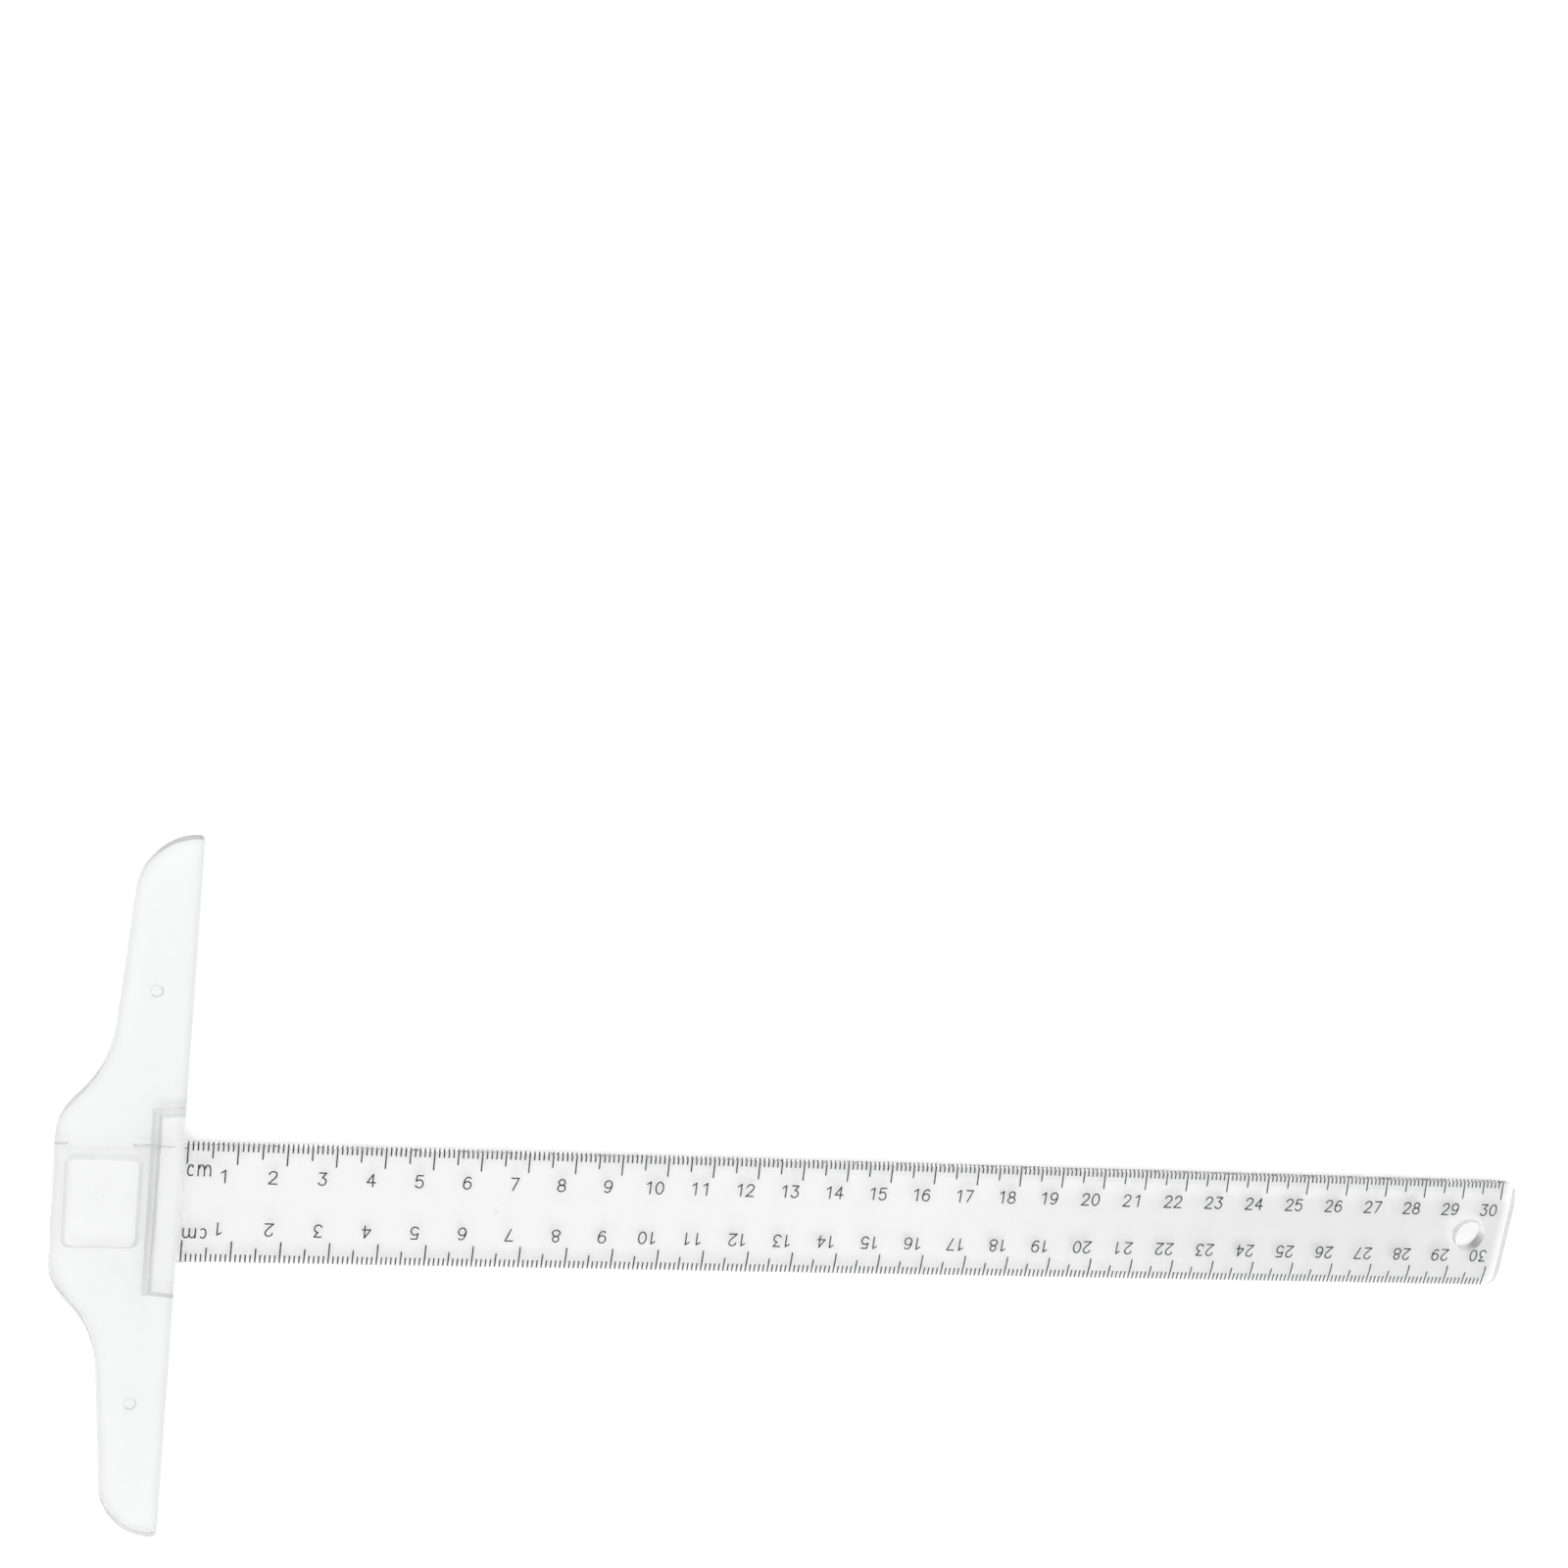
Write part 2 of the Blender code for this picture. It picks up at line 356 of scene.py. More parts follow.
bed = [(x, y) for x, y, z in foot_ring(HEAD_TOP, CEMENT)]
bed[1:3] = [(EDGE_X + OVER, bed[1][1]), (EDGE_X + OVER, bed[2][1])]
bed_level = HEAD_TOP - 2 * CEMENT
combine(head, soft_plate("foot_bed", bed, bed_level, HEAD_TOP + OVER), "DIFFERENCE")
foot = stack(
    "foot",
    [
        foot_ring(HEAD_TOP - CEMENT),
        foot_ring(HEAD_TOP + BEND_AT * (BLADE_TOP - HEAD_TOP), -BEND_IN),
        foot_ring(BLADE_TOP - FOOT_RIM * 0.4),
        foot_ring(BLADE_TOP, -FOOT_RIM * 0.3),
    ],
)
neck_start = EDGE_X - FOOT_DEPTH + FOOT_BACK_SLOPE + 0.5
neck = box_outline(neck_start, BAR_START + OVER, TONGUE_HALF)
combine(foot, soft_plate("neck", neck, HEAD_TOP - JOIN, BLADE_TOP - JOIN), "UNION")
combine(blade, foot, "UNION")
print("foot:", triangles(blade), "triangles so far")

# %% The raised panel on the tongue
PANEL_FROM_EDGE = 7.7
PANEL_DEPTH = 15.3
PANEL_HALF = 10.4
PANEL_RISE = 0.7
PANEL_SLOPE = 0.8
PANEL_CORNER = 1.8


def panel_ring(rise, inset):
    """The panel's outline, drawn in by inset, at a height above the head."""
    side_x = EDGE_X - PANEL_FROM_EDGE
    corner = PANEL_CORNER - inset / 2
    sides = round_box_outline(side_x - PANEL_DEPTH + inset, side_x - inset, PANEL_HALF - inset, corner)
    return [(x, y, HEAD_TOP + rise) for x, y in sides]


panel = stack(
    "panel",
    [
        panel_ring(-JOIN, 0.0),
        panel_ring(0.0, 0.0),
        panel_ring(0.1, 0.05),
        panel_ring(PANEL_RISE - 0.1, PANEL_SLOPE - 0.15),
        panel_ring(PANEL_RISE, PANEL_SLOPE),
    ],
)
combine(blade, panel, "UNION")
print("with the panel:", triangles(blade), "triangles")

# %% Rounded tip corners and the hanging hole
TIP_RADIUS = 2.0
HOLE_RADIUS = 3.7
HOLE_X = TIP_X - 9.7
WIDE = 100.0

corner_x, corner_y = TIP_X - TIP_RADIUS, BLADE_HALF - TIP_RADIUS
back = BACK_X - OVER
tip_outline = (
    arc(corner_x, corner_y, TIP_RADIUS, 0, 90)[:-1]
    + [(corner_x, WIDE), (back, WIDE), (back, -WIDE), (corner_x, -WIDE)]
    + arc(corner_x, -corner_y, TIP_RADIUS, 270, 360)[1:]
)
hole = arc(HOLE_X, 0, HOLE_RADIUS, 0, 355, 71)
for name, outline, operation in (("tip", tip_outline, "INTERSECT"), ("hole", hole, "DIFFERENCE")):
    combine(blade, soft_plate(name, outline, BLADE_BOTTOM - OVER, BLADE_TOP + OVER), operation)
print("with its tip and hole:", triangles(blade), "triangles")

# %% Slits where the cement is missing, and two small mould marks
SEAM_WIDTH = 0.2
SEAM_GAPS = ((-25.4, -22.6), (-10.0, -6.6), (-6.6, -1.6))  # the last one goes on under the foot
SLIT_FLOOR = BLADE_BOTTOM + 0.2
GATE_MARK = (EDGE_X - 16.5, 2.7, HEAD_TOP + PANEL_RISE, 0.45)  # x, y, level and radius
PIN_MARK = (EDGE_X + 64.6, 0.9, BLADE_TOP, 0.5)

low_y, high_y = TONGUE_HALF - SEAM_WIDTH / 2, TONGUE_HALF + SEAM_WIDTH / 2
for start, end in SEAM_GAPS:
    under_foot = end > -FOOT_DEPTH
    top = HEAD_TOP - JOIN if under_foot else HEAD_TOP + 0.1
    low_x, high_x = EDGE_X + start, EDGE_X + end
    slit = [(low_x, low_y), (high_x, low_y), (high_x, high_y), (low_x, high_y)]
    for piece in (head, blade):
        combine(piece, soft_plate("slit", slit, SLIT_FLOOR, top), "DIFFERENCE")
for x, y, level, radius in (GATE_MARK, PIN_MARK):
    around = arc(x, y, radius, 0, 330, 11)
    combine(blade, soft_plate("dimple", around, level - MARK_DEPTH, level + OVER), "DIFFERENCE")
print("blade:", triangles(blade), "triangles")

# %% [markdown]
# ## The printed scales
# Both edges carry the same centimetre scale in black ink, each one the right way up when its own edge is
# on top. It is printed on the underside, against the paper, so that the eye reads it with no gap. The
# three hundred and one marks of a scale differ only in length: long on each centimetre, middling on each
# half, short on each millimetre. Geometry Nodes suit that. One small block is placed at every point of a
# line, and the point's own number picks its length.

# %% Small helpers for node trees
def new_tree(name, inputs):
    """A Geometry Nodes tree with one geometry input and output, and these named inputs."""
    tree = bpy.data.node_groups.new(name, "GeometryNodeTree")
    tree.interface.new_socket("Geometry", in_out="INPUT", socket_type="NodeSocketGeometry")
    for label, kind in inputs:
        tree.interface.new_socket(label, in_out="INPUT", socket_type="NodeSocket" + kind)
    tree.interface.new_socket("Geometry", in_out="OUTPUT", socket_type="NodeSocketGeometry")
    given = tree.nodes.new("NodeGroupInput")
    made = tree.nodes.new("NodeGroupOutput")
    return tree, given.outputs, made.inputs[0]


def node(tree, kind, settings=None, **sockets):
    """A node with its settings, and its sockets set to values or joined to other sockets."""
    made = tree.nodes.new(kind)
    for name, value in (settings or {}).items():
        setattr(made, name, value)
    for label, value in sockets.items():
        wanted = label.replace("_", " ")
        socket = made.inputs[int(label[1:])] if label[1:].isdigit() else made.inputs[wanted]
        if isinstance(value, bpy.types.NodeSocket):
            tree.links.new(value, socket)
        else:
            socket.default_value = value
    return made


def run_tree(name, obj, tree, values):
    """Puts the tree on an object, sets its named inputs, and keeps the plain mesh that comes out."""
    modifier = obj.modifiers.new(name, "NODES")
    modifier.node_group = tree
    for item in tree.interface.items_tree:
        if item.in_out == "INPUT" and item.name in values:
            modifier[item.identifier] = values[item.name]
    bpy.context.view_layer.update()
    evaluated = obj.evaluated_get(bpy.context.evaluated_depsgraph_get())
    mesh = bpy.data.meshes.new_from_object(evaluated)
    mesh.name = name
    made = bpy.data.objects.new(name, mesh)
    bpy.context.scene.collection.objects.link(made)
    bpy.data.objects.remove(obj)
    return made


def empty_mesh_object(name):
    obj = bpy.data.objects.new(name, bpy.data.meshes.new(name))
    bpy.context.scene.collection.objects.link(obj)
    return obj


print("helpers ready: new_tree, node, run_tree")

# %% The tree that rules one scale
ruling, given, ruled = new_tree(
    "ruled_scale",
    [
        ("Marks", "Int"),
        ("Spacing", "Float"),
        ("First mark", "Vector"),
        ("Way in", "Float"),
        ("Millimetre length", "Float"),
        ("Half length", "Float"),
        ("Centimetre length", "Float"),
        ("Line width", "Float"),
        ("Ink film", "Float"),
        ("Ink", "Material"),
    ],
)
number = node(ruling, "GeometryNodeInputIndex").outputs[0]


def every(count):
    """True on each mark whose number divides by count."""
    remainder = node(ruling, "ShaderNodeMath", {"operation": "FLOORED_MODULO"}, _0=number, _1=float(count))
    return node(
        ruling, "FunctionNodeCompare", {"data_type": "FLOAT", "operation": "LESS_THAN"},
        _0=remainder.outputs[0], _1=0.5,
    ).outputs[0]


def pick(test, if_not, if_so):
    made = node(ruling, "GeometryNodeSwitch", {"input_type": "FLOAT"}, _0=test, _1=if_not, _2=if_so)
    return made.outputs[0]


def product(first, second):
    return node(ruling, "ShaderNodeMath", {"operation": "MULTIPLY"}, _0=first, _1=second).outputs[0]


length = pick(every(5), given["Millimetre length"], given["Half length"])
length = pick(every(10), length, given["Centimetre length"])
step = node(ruling, "ShaderNodeCombineXYZ", X=given["Spacing"]).outputs[0]
line = node(
    ruling, "GeometryNodeMeshLine", Count=given["Marks"], Start_Location=given["First mark"], Offset=step
).outputs[0]
half_in = product(product(length, 0.5), given["Way in"])
shift = node(ruling, "ShaderNodeCombineXYZ", Y=half_in).outputs[0]
placed = node(ruling, "GeometryNodeSetPosition", Geometry=line, Offset=shift).outputs[0]
block = node(ruling, "GeometryNodeMeshCube", Size=(1.0, 1.0, 1.0)).outputs[0]
size = node(
    ruling, "ShaderNodeCombineXYZ", X=given["Line width"], Y=length, Z=given["Ink film"]
).outputs[0]
marks = node(ruling, "GeometryNodeInstanceOnPoints", Points=placed, Instance=block, Scale=size).outputs[0]
plain = node(ruling, "GeometryNodeRealizeInstances", Geometry=marks).outputs[0]
inked = node(ruling, "GeometryNodeSetMaterial", Geometry=plain, Material=given["Ink"]).outputs[0]
ruling.links.new(inked, ruled)
print("ruled_scale has", len(ruling.nodes), "nodes")

# %% [markdown]
# The ink is matt black and a little uneven, as screen printing is. The shader maths here is written as
# Python: a small class wraps a socket, and + or * on it adds the Math node.

# %% Shader maths as Python expressions
class Field:
    """A number that changes over the surface. Arithmetic on it adds Math nodes to its material."""

    def __init__(self, tree, socket):
        self.tree, self.socket = tree, socket

    def _math(self, operation, left, right):
        left, right = (value.socket if isinstance(value, Field) else value for value in (left, right))
        made = node(self.tree, "ShaderNodeMath", {"operation": operation}, _0=left, _1=right)
        return Field(self.tree, made.outputs[0])

    def __add__(self, other):
        return self._math("ADD", self, other)

    def __radd__(self, other):
        return self._math("ADD", other, self)

    def __sub__(self, other):
        return self._math("SUBTRACT", self, other)

    def __rsub__(self, other):
        return self._math("SUBTRACT", other, self)

    def __mul__(self, other):
        return self._math("MULTIPLY", self, other)

    def __rmul__(self, other):
        return self._math("MULTIPLY", other, self)

    def ramp(self, low, high):
        """From 0 to 1, smoothly, as this field goes from low to high."""
        made = node(
            self.tree, "ShaderNodeMapRange", {"interpolation_type": "SMOOTHSTEP"},
            Value=self.socket, From_Min=low, From_Max=high,
        )
        return Field(self.tree, made.outputs[0])


class Finish:
    """A material under construction: its tree, its Principled shader and its texture nodes."""

    def __init__(self, name, **values):
        self.material = bpy.data.materials.new(name)
        self.material.use_nodes = True
        self.tree = self.material.node_tree
        self.shader = self.tree.nodes["Principled BSDF"]
        for label, value in values.items():
            self.shader.inputs[label.replace("_", " ")].default_value = value
        self.place = self.add("ShaderNodeTexCoord").outputs["Object"]

    def add(self, kind, settings=None, **sockets):
        return node(self.tree, kind, settings, **sockets)

    def noise(self, per_metre, detail=2.0, stretch=(1.0, 1.0, 1.0)):
        """Noise from 0 to 1 with about this many bumps per metre."""
        placed = self.add("ShaderNodeMapping", Vector=self.place, Scale=stretch)
        patchy_noise = self.add("ShaderNodeTexNoise", Vector=placed.outputs[0], Scale=per_metre, Detail=detail)
        return Field(self.tree, patchy_noise.outputs[0])

    def blend(self, amount, first, second):
        """A colour between two, by a field. The Mix node's colours are its sockets 6 and 7."""
        mix = self.add("ShaderNodeMix", {"data_type": "RGBA"}, _0=amount.socket, _6=first, _7=second)
        return mix.outputs[2]

    def feed(self, label, value):
        """Joins a field or a socket to one of the shader's inputs."""
        socket = value.socket if isinstance(value, Field) else value
        self.tree.links.new(socket, self.shader.inputs[label])

    def bump(self, height, strength, distance):
        made = self.add("ShaderNodeBump", Height=height.socket, Strength=strength, Distance=distance)
        self.feed("Normal", made.outputs[0])


print("Field and Finish ready")

# %% The printing ink
SPECKLES_PER_METRE = 2600.0

ink = Finish("printing_ink", Specular_IOR_Level=0.0)
speckle = ink.noise(SPECKLES_PER_METRE, 3.0)
ink.feed("Base Color", ink.blend(speckle, (0.003, 0.003, 0.003, 1.0), (0.012, 0.012, 0.013, 1.0)))
ink.feed("Roughness", 0.45 + 0.2 * speckle)
print("ink made")

# %% Both ruled scales
INK_FILM = 0.02
INK_LEVEL = BLADE_BOTTOM + 0.02
ZERO_X = EDGE_X + 0.9
MARKS = 301
MARK_WIDTH = 0.31
MARK_LENGTHS = {"Millimetre length": 1.9, "Half length": 3.5, "Centimetre length": 4.8}
EDGE_TO_MARKS = 0.05


def ruled_scale(name, side):
    """One scale as ink. It starts at the upper edge for side 1 and at the lower edge for side -1."""
    start = Vector((ZERO_X, side * (BLADE_HALF - EDGE_TO_MARKS), INK_LEVEL)) * MM
    values = {"Marks": MARKS, "Spacing": MM, "First mark": start, "Way in": -float(side)}
    values |= {label: length * MM for label, length in MARK_LENGTHS.items()}
    values |= {"Line width": MARK_WIDTH * MM, "Ink film": INK_FILM * MM, "Ink": ink.material}
    return run_tree(name, empty_mesh_object(name + "_seed"), ruling, values)


scale_upper = ruled_scale("scale_marks_upper", 1)
scale_lower = ruled_scale("scale_marks_lower", -1)
print("marks:", triangles(scale_upper), "triangles a side")

# %% [markdown]
# The numbers are drawn with one pen stroke of even width and round ends, the plain lettering of
# engraving machines. A font could stand in, but its strokes would be too heavy. Each figure is a few
# lines and arcs on a grid one unit high, and a second tree turns every stroke into a flat ribbon of ink.

# %% The figures as pen strokes
def bow(centre_x, centre_y, radius_x, radius_y, start, end, steps=14):
    """Part of an oval, between two angles."""
    points = []
    for i in range(steps + 1):
        angle = math.radians(start + (end - start) * i / steps)
        points.append((centre_x + radius_x * math.cos(angle), centre_y + radius_y * math.sin(angle)))
    return points


def pen_curve(a, b, c, d, steps=10):
    corners = [(x, y, 0.0) for x, y in (a, b, c, d)]
    return [(point.x, point.y) for point in interpolate_bezier(*corners, steps + 1)]


def straight(*points):
    """Separate strokes along a path with sharp corners."""
    return [[first, second] for first, second in zip(points, points[1:])]


six_bowl = bow(0.34, 0.31, 0.30, 0.31, 0, 360, 26)
six_back = pen_curve((0.58, 0.88), (0.44, 1.08), (0.04, 1.02), (0.04, 0.31), 14)
FIGURES = {
    "0": [bow(0.34, 0.5, 0.31, 0.5, 0, 360, 32)],
    "1": straight((0.19, 0.80), (0.49, 1.0), (0.49, 0.0)),
    "2": [pen_curve((0.05, 0.76), (0.06, 1.08), (0.64, 1.10), (0.62, 0.74), 14)]
    + [pen_curve((0.62, 0.74), (0.60, 0.50), (0.30, 0.32), (0.02, 0.0))]
    + straight((0.02, 0.0), (0.66, 0.0)),
    "3": straight((0.07, 1.0), (0.62, 1.0), (0.33, 0.61))
    + [bow(0.33, 0.305, 0.30, 0.305, 90, -155, 18)],
    "4": straight((0.48, 0.0), (0.48, 1.0), (0.02, 0.32), (0.68, 0.32)),
    "5": straight((0.60, 1.0), (0.12, 1.0), (0.06, 0.56)) + [bow(0.32, 0.33, 0.31, 0.33, 142, -150, 20)],
    "6": [six_bowl, six_back],
    "7": straight((0.03, 1.0), (0.64, 1.0), (0.22, 0.0)),
    "8": [bow(0.34, 0.76, 0.25, 0.24, 0, 360, 24), bow(0.34, 0.26, 0.31, 0.26, 0, 360, 26)],
    "9": [[(0.68 - x, 1.0 - y) for x, y in stroke] for stroke in (six_bowl, six_back)],
    "c": [bow(0.29, 0.5, 0.27, 0.5, 50, 310, 18)],
    "m": straight((0.0, 1.0), (0.0, 0.0))
    + [pen_curve((0.0, 0.62), (0.06, 1.10), (0.50, 1.14), (0.50, 0.60)), [(0.50, 0.60), (0.50, 0.0)]]
    + [pen_curve((0.50, 0.62), (0.56, 1.10), (1.0, 1.14), (1.0, 0.60)), [(1.0, 0.60), (1.0, 0.0)]],
}
FIGURE_MIDDLE = 0.34
print(sum(len(strokes) for strokes in FIGURES.values()), "strokes in", len(FIGURES), "figures")

# %% The tree that inks pen strokes
inking, given, written = new_tree(
    "pen_ink", [("Stroke width", "Float"), ("Ink film", "Float"), ("Ink", "Material")]
)
strokes = node(inking, "GeometryNodeMeshToCurve", Mesh=given["Geometry"]).outputs[0]
level = node(inking, "GeometryNodeSetCurveNormal", {"mode": "Z_UP"}, Curve=strokes).outputs[0]
nib = node(
    inking, "GeometryNodeCurvePrimitiveQuadrilateral", Width=given["Stroke width"], Height=given["Ink film"]
).outputs[0]
ribbons = node(inking, "GeometryNodeCurveToMesh", Curve=level, Profile_Curve=nib, Fill_Caps=True).outputs[0]
radius = node(
    inking, "ShaderNodeMath", {"operation": "MULTIPLY"}, _0=given["Stroke width"], _1=0.5
).outputs[0]
dot = node(
    inking, "GeometryNodeMeshCylinder", Vertices=12, Radius=radius, Depth=given["Ink film"]
).outputs[0]
ends = node(inking, "GeometryNodeCurveEndpointSelection").outputs[0]
dots = node(
    inking, "GeometryNodeInstanceOnPoints", Points=strokes, Selection=ends, Instance=dot
).outputs[0]
plain_dots = node(inking, "GeometryNodeRealizeInstances", Geometry=dots).outputs[0]
both = node(inking, "GeometryNodeJoinGeometry", _0=plain_dots)
inking.links.new(ribbons, both.inputs[0])
solid = node(inking, "GeometryNodeRealizeInstances", Geometry=both.outputs[0]).outputs[0]
inked = node(inking, "GeometryNodeSetMaterial", Geometry=solid, Material=given["Ink"]).outputs[0]
inking.links.new(inked, written)
print("pen_ink has", len(inking.nodes), "nodes")

# %% Where each number and each letter stands
FIGURE_WIDE = 2.6  # millimetres to one unit of the grid across
FIGURE_TALL = 2.75
FIGURE_PITCH = 2.4
NUMBER_BEFORE_MARK = 2.65  # from a mark back to the middle of its number
NUMBER_FROM_MIDDLE = (4.7, 4.35)  # the upper row and the lower row
UNIT_LETTERS = (("c", 0.15, 2.3), ("m", 2.3, 2.45))  # letter, left end, millimetres to a unit across
UNIT_TALL = 2.1
UNIT_OUT = 1.4  # the letters stand this much nearer the edge than the numbers
STROKE = 0.3


def scale_writing(base):
    """Every stroke of one scale, in millimetres from the zero mark and the middle of the blade."""
    found = []
    for centimetre in range(1, 31):
        text = str(centimetre)
        middle = 10 * centimetre - NUMBER_BEFORE_MARK
        for place, figure in enumerate(text):
            cell = middle + (place - (len(text) - 1) / 2) * FIGURE_PITCH
            for stroke in FIGURES[figure]:
                points = [
                    (cell + (x - FIGURE_MIDDLE) * FIGURE_WIDE, base + y * FIGURE_TALL)
                    for x, y in stroke
                ]
                found.append((middle, points))
    unit_middle = (UNIT_LETTERS[0][1] + UNIT_LETTERS[1][1] + UNIT_LETTERS[1][2]) / 2
    for letter, left, wide in UNIT_LETTERS:
        for stroke in FIGURES[letter]:
            points = [(left + x * wide, base + UNIT_OUT + y * UNIT_TALL) for x, y in stroke]
            found.append((unit_middle, points))
    return found


print(len(scale_writing(NUMBER_FROM_MIDDLE[0])), "strokes on one scale")


# %% Both rows of numbers
def written_row(name, turned):
    """One row as ink. The turned row has each number turned half round, to be read from its own edge."""
    points, edges = [], []
    for middle, stroke in scale_writing(NUMBER_FROM_MIDDLE[turned]):
        if turned:
            stroke = [(2 * middle - x, -y) for x, y in stroke]
        closed = (Vector(stroke[0]) - Vector(stroke[-1])).length < 0.001
        first = len(points)
        stroke = stroke[:-1] if closed else stroke
        points += [Vector((ZERO_X + x, y, INK_LEVEL)) * MM for x, y in stroke]
        edges += [(i, i + 1) for i in range(first, len(points) - 1)]
        if closed:
            edges.append((len(points) - 1, first))
    obj = empty_mesh_object(name + "_seed")
    obj.data.from_pydata(points, edges, [])
    values = {"Stroke width": STROKE * MM, "Ink film": INK_FILM * MM, "Ink": ink.material}
    return run_tree(name, obj, inking, values)


numbers_upper = written_row("scale_numbers_upper", False)
numbers_lower = written_row("scale_numbers_lower", True)
print("numbers:", triangles(numbers_upper), "and", triangles(numbers_lower), "triangles")

# %% [markdown]
# ## The clear plastic
# Clear plastic has almost no colour of its own. Its look is refraction: an index of refraction of 1.49,
# full transmission and a smooth surface. Two things keep it from looking like perfect glass. Moulding
# leaves its faces very slightly wavy, and handling leaves a fine haze that changes from place to place.
# Sloped faces need a little more. In a room they mirror darker things around them, which an empty set
# doesn't have, so slopes and some side walls get painted shade: three greyer shades painted into their
# colour, grey in random patches. Side walls are seldom as well polished in a mould as the flat faces,
# and get a frosted shade.

# %% The plastic of both pieces
PLASTIC_INDEX = 1.49
PAINTED_SHADE_SWING = 0.08  # how far a painted shade swings each way, in random patches
TIP_PAINTED_SHADE = 0.024  # painted shade: how much darker the blade's colour grows over its length
TIP_PAINTED_SHADE_FROM = 0.06  # metres, where that painted shade begins
END_PAINTED_SHADE = 0.10  # painted shade: the last few millimetres are greyer still


def grey(level):
    """A grey with a very slight blue cast."""
    return (level, level + 0.002, level + 0.004, 1.0)


def clear_finish(name, level, **values):
    return Finish(name, Base_Color=grey(level), Transmission_Weight=1.0, IOR=PLASTIC_INDEX, **values)


def clear_plastic(name, level):
    """Clear plastic with moulding waves and a haze from handling."""
    finish = clear_finish(name, level)
    handling = finish.noise(60.0, 4.0)
    finish.feed("Roughness", 0.004 + 0.012 * handling)
    flow = finish.noise(35.0, 1.0, (0.35, 1.0, 1.0))
    finish.bump(flow, 0.05, 0.0004)
    return finish


# Painted shade: a greyer copy of the clear plastic for slopes and side walls, its grey varying in random
# patches.
def cloudy_plastic(name, level):
    finish = clear_plastic(name, level)
    patchy_noise = finish.noise(500.0, 3.0, (1.0, 0.25, 1.0))
    finish.feed("Base Color", finish.blend(patchy_noise, grey(level - PAINTED_SHADE_SWING), grey(level + PAINTED_SHADE_SWING)))
    return finish


head_plastic = clear_plastic("clear_plastic_head", 0.985)
BLADE_TINT = 0.997
blade_plastic = clear_plastic("clear_plastic_blade", BLADE_TINT)
place_parts = blade_plastic.add("ShaderNodeSeparateXYZ", Vector=blade_plastic.place)
along = Field(blade_plastic.tree, place_parts.outputs["X"])
end = TIP_X * MM
# Painted shade: the blade's colour darkens towards the tip, and more in its last few millimetres.
painted_shade_down_the_blade = TIP_PAINTED_SHADE * along.ramp(TIP_PAINTED_SHADE_FROM, end)
painted_shade_at_the_end = END_PAINTED_SHADE * along.ramp(end - 0.0045, end - 0.002)
blade_plastic.feed("Base Color", BLADE_TINT - painted_shade_down_the_blade - painted_shade_at_the_end)
print("plastics:", head_plastic.material.name, blade_plastic.material.name)

# %% The painted shades for slopes and side walls, the frosted shade and the joint
# soft, middle and deep are three levels of painted shade, from lightest to darkest.
finishes = [
    cloudy_plastic("clear_plastic_" + name, level).material
    for name, level in (("soft", 0.86), ("middle", 0.76), ("deep", 0.58))
]
finishes.append(clear_finish("clear_plastic_frosted", 0.85, Roughness=0.5).material)
finishes.append(Finish("cement", Alpha=0.0).material)
SOFT, MIDDLE, DEEP, FROSTED, CEMENTED = range(1, 6)
print("shades:", [material.name for material in finishes])

# %% [markdown]
# Solvent cement melts the two pieces into one where they touch, so light goes straight through the joint
# and nothing shows. Here both sides of the joint get a material that lets everything pass. Along one side
# the cement has two gaps, and only there the seam shows, as short frosted slits.

# %% Which faces are cemented
def near(value, wanted):
    """True within less than half the film of cement, so the two sides aren't confused."""
    return abs(value - wanted) < 0.4 * CEMENT


def head_joint(at, way):
    if way.z > 0.9:
        return near(at.z, BLADE_BOTTOM) or near(at.z, HEAD_TOP - 2 * CEMENT)
    if abs(way.y) > 0.9 and at.z > BLADE_BOTTOM:
        return near(abs(at.y), TONGUE_HALF + CEMENT) or near(abs(at.y), BLADE_HALF + CEMENT)
    return way.x > 0.9 and near(at.x, EDGE_X - MOUTH_DEPTH)


def blade_joint(at, way):
    if at.x > EDGE_X:
        return False
    if way.z < -0.9:
        return near(at.z, BLADE_BOTTOM + CEMENT) or near(at.z, HEAD_TOP - CEMENT)
    if abs(way.y) > 0.9 and at.z < HEAD_TOP:
        return near(abs(at.y), TONGUE_HALF) or near(abs(at.y), BLADE_HALF)
    return way.x < -0.9 and near(at.x, EDGE_X - MOUTH_DEPTH + CEMENT)


print("faces within", 0.4 * CEMENT, "mm of a joint's planes count as cemented")


# %% Which material each face gets, painted shades among them
PLAIN = 0  # the piece's own clear plastic
UPRIGHT = 0.3  # a side wall's normal rises less than this


def is_slope(way):
    return 0.1 < way.z < 0.97


def in_seam(at, way):
    return abs(at.y - TONGUE_HALF) < SEAM_WIDTH and abs(way.y) > 0.9


def head_face(at, way):
    if head_joint(at, way):
        return CEMENTED
    if in_seam(at, way) and at.z > BLADE_BOTTOM:
        return FROSTED
    # Painted shade: the sloping rim of an ejector mark is darker on one side than on the other.
    across = at.x - EDGE_X + MARK_FROM_EDGE
    up = at.y - math.copysign(MARK_OUT, at.y)
    if math.hypot(across, up) < MARK_RADIUS and is_slope(way):
        return DEEP if across > up else SOFT
    return FROSTED if abs(way.z) < UPRIGHT and at.x < EDGE_X - 0.5 else PLAIN


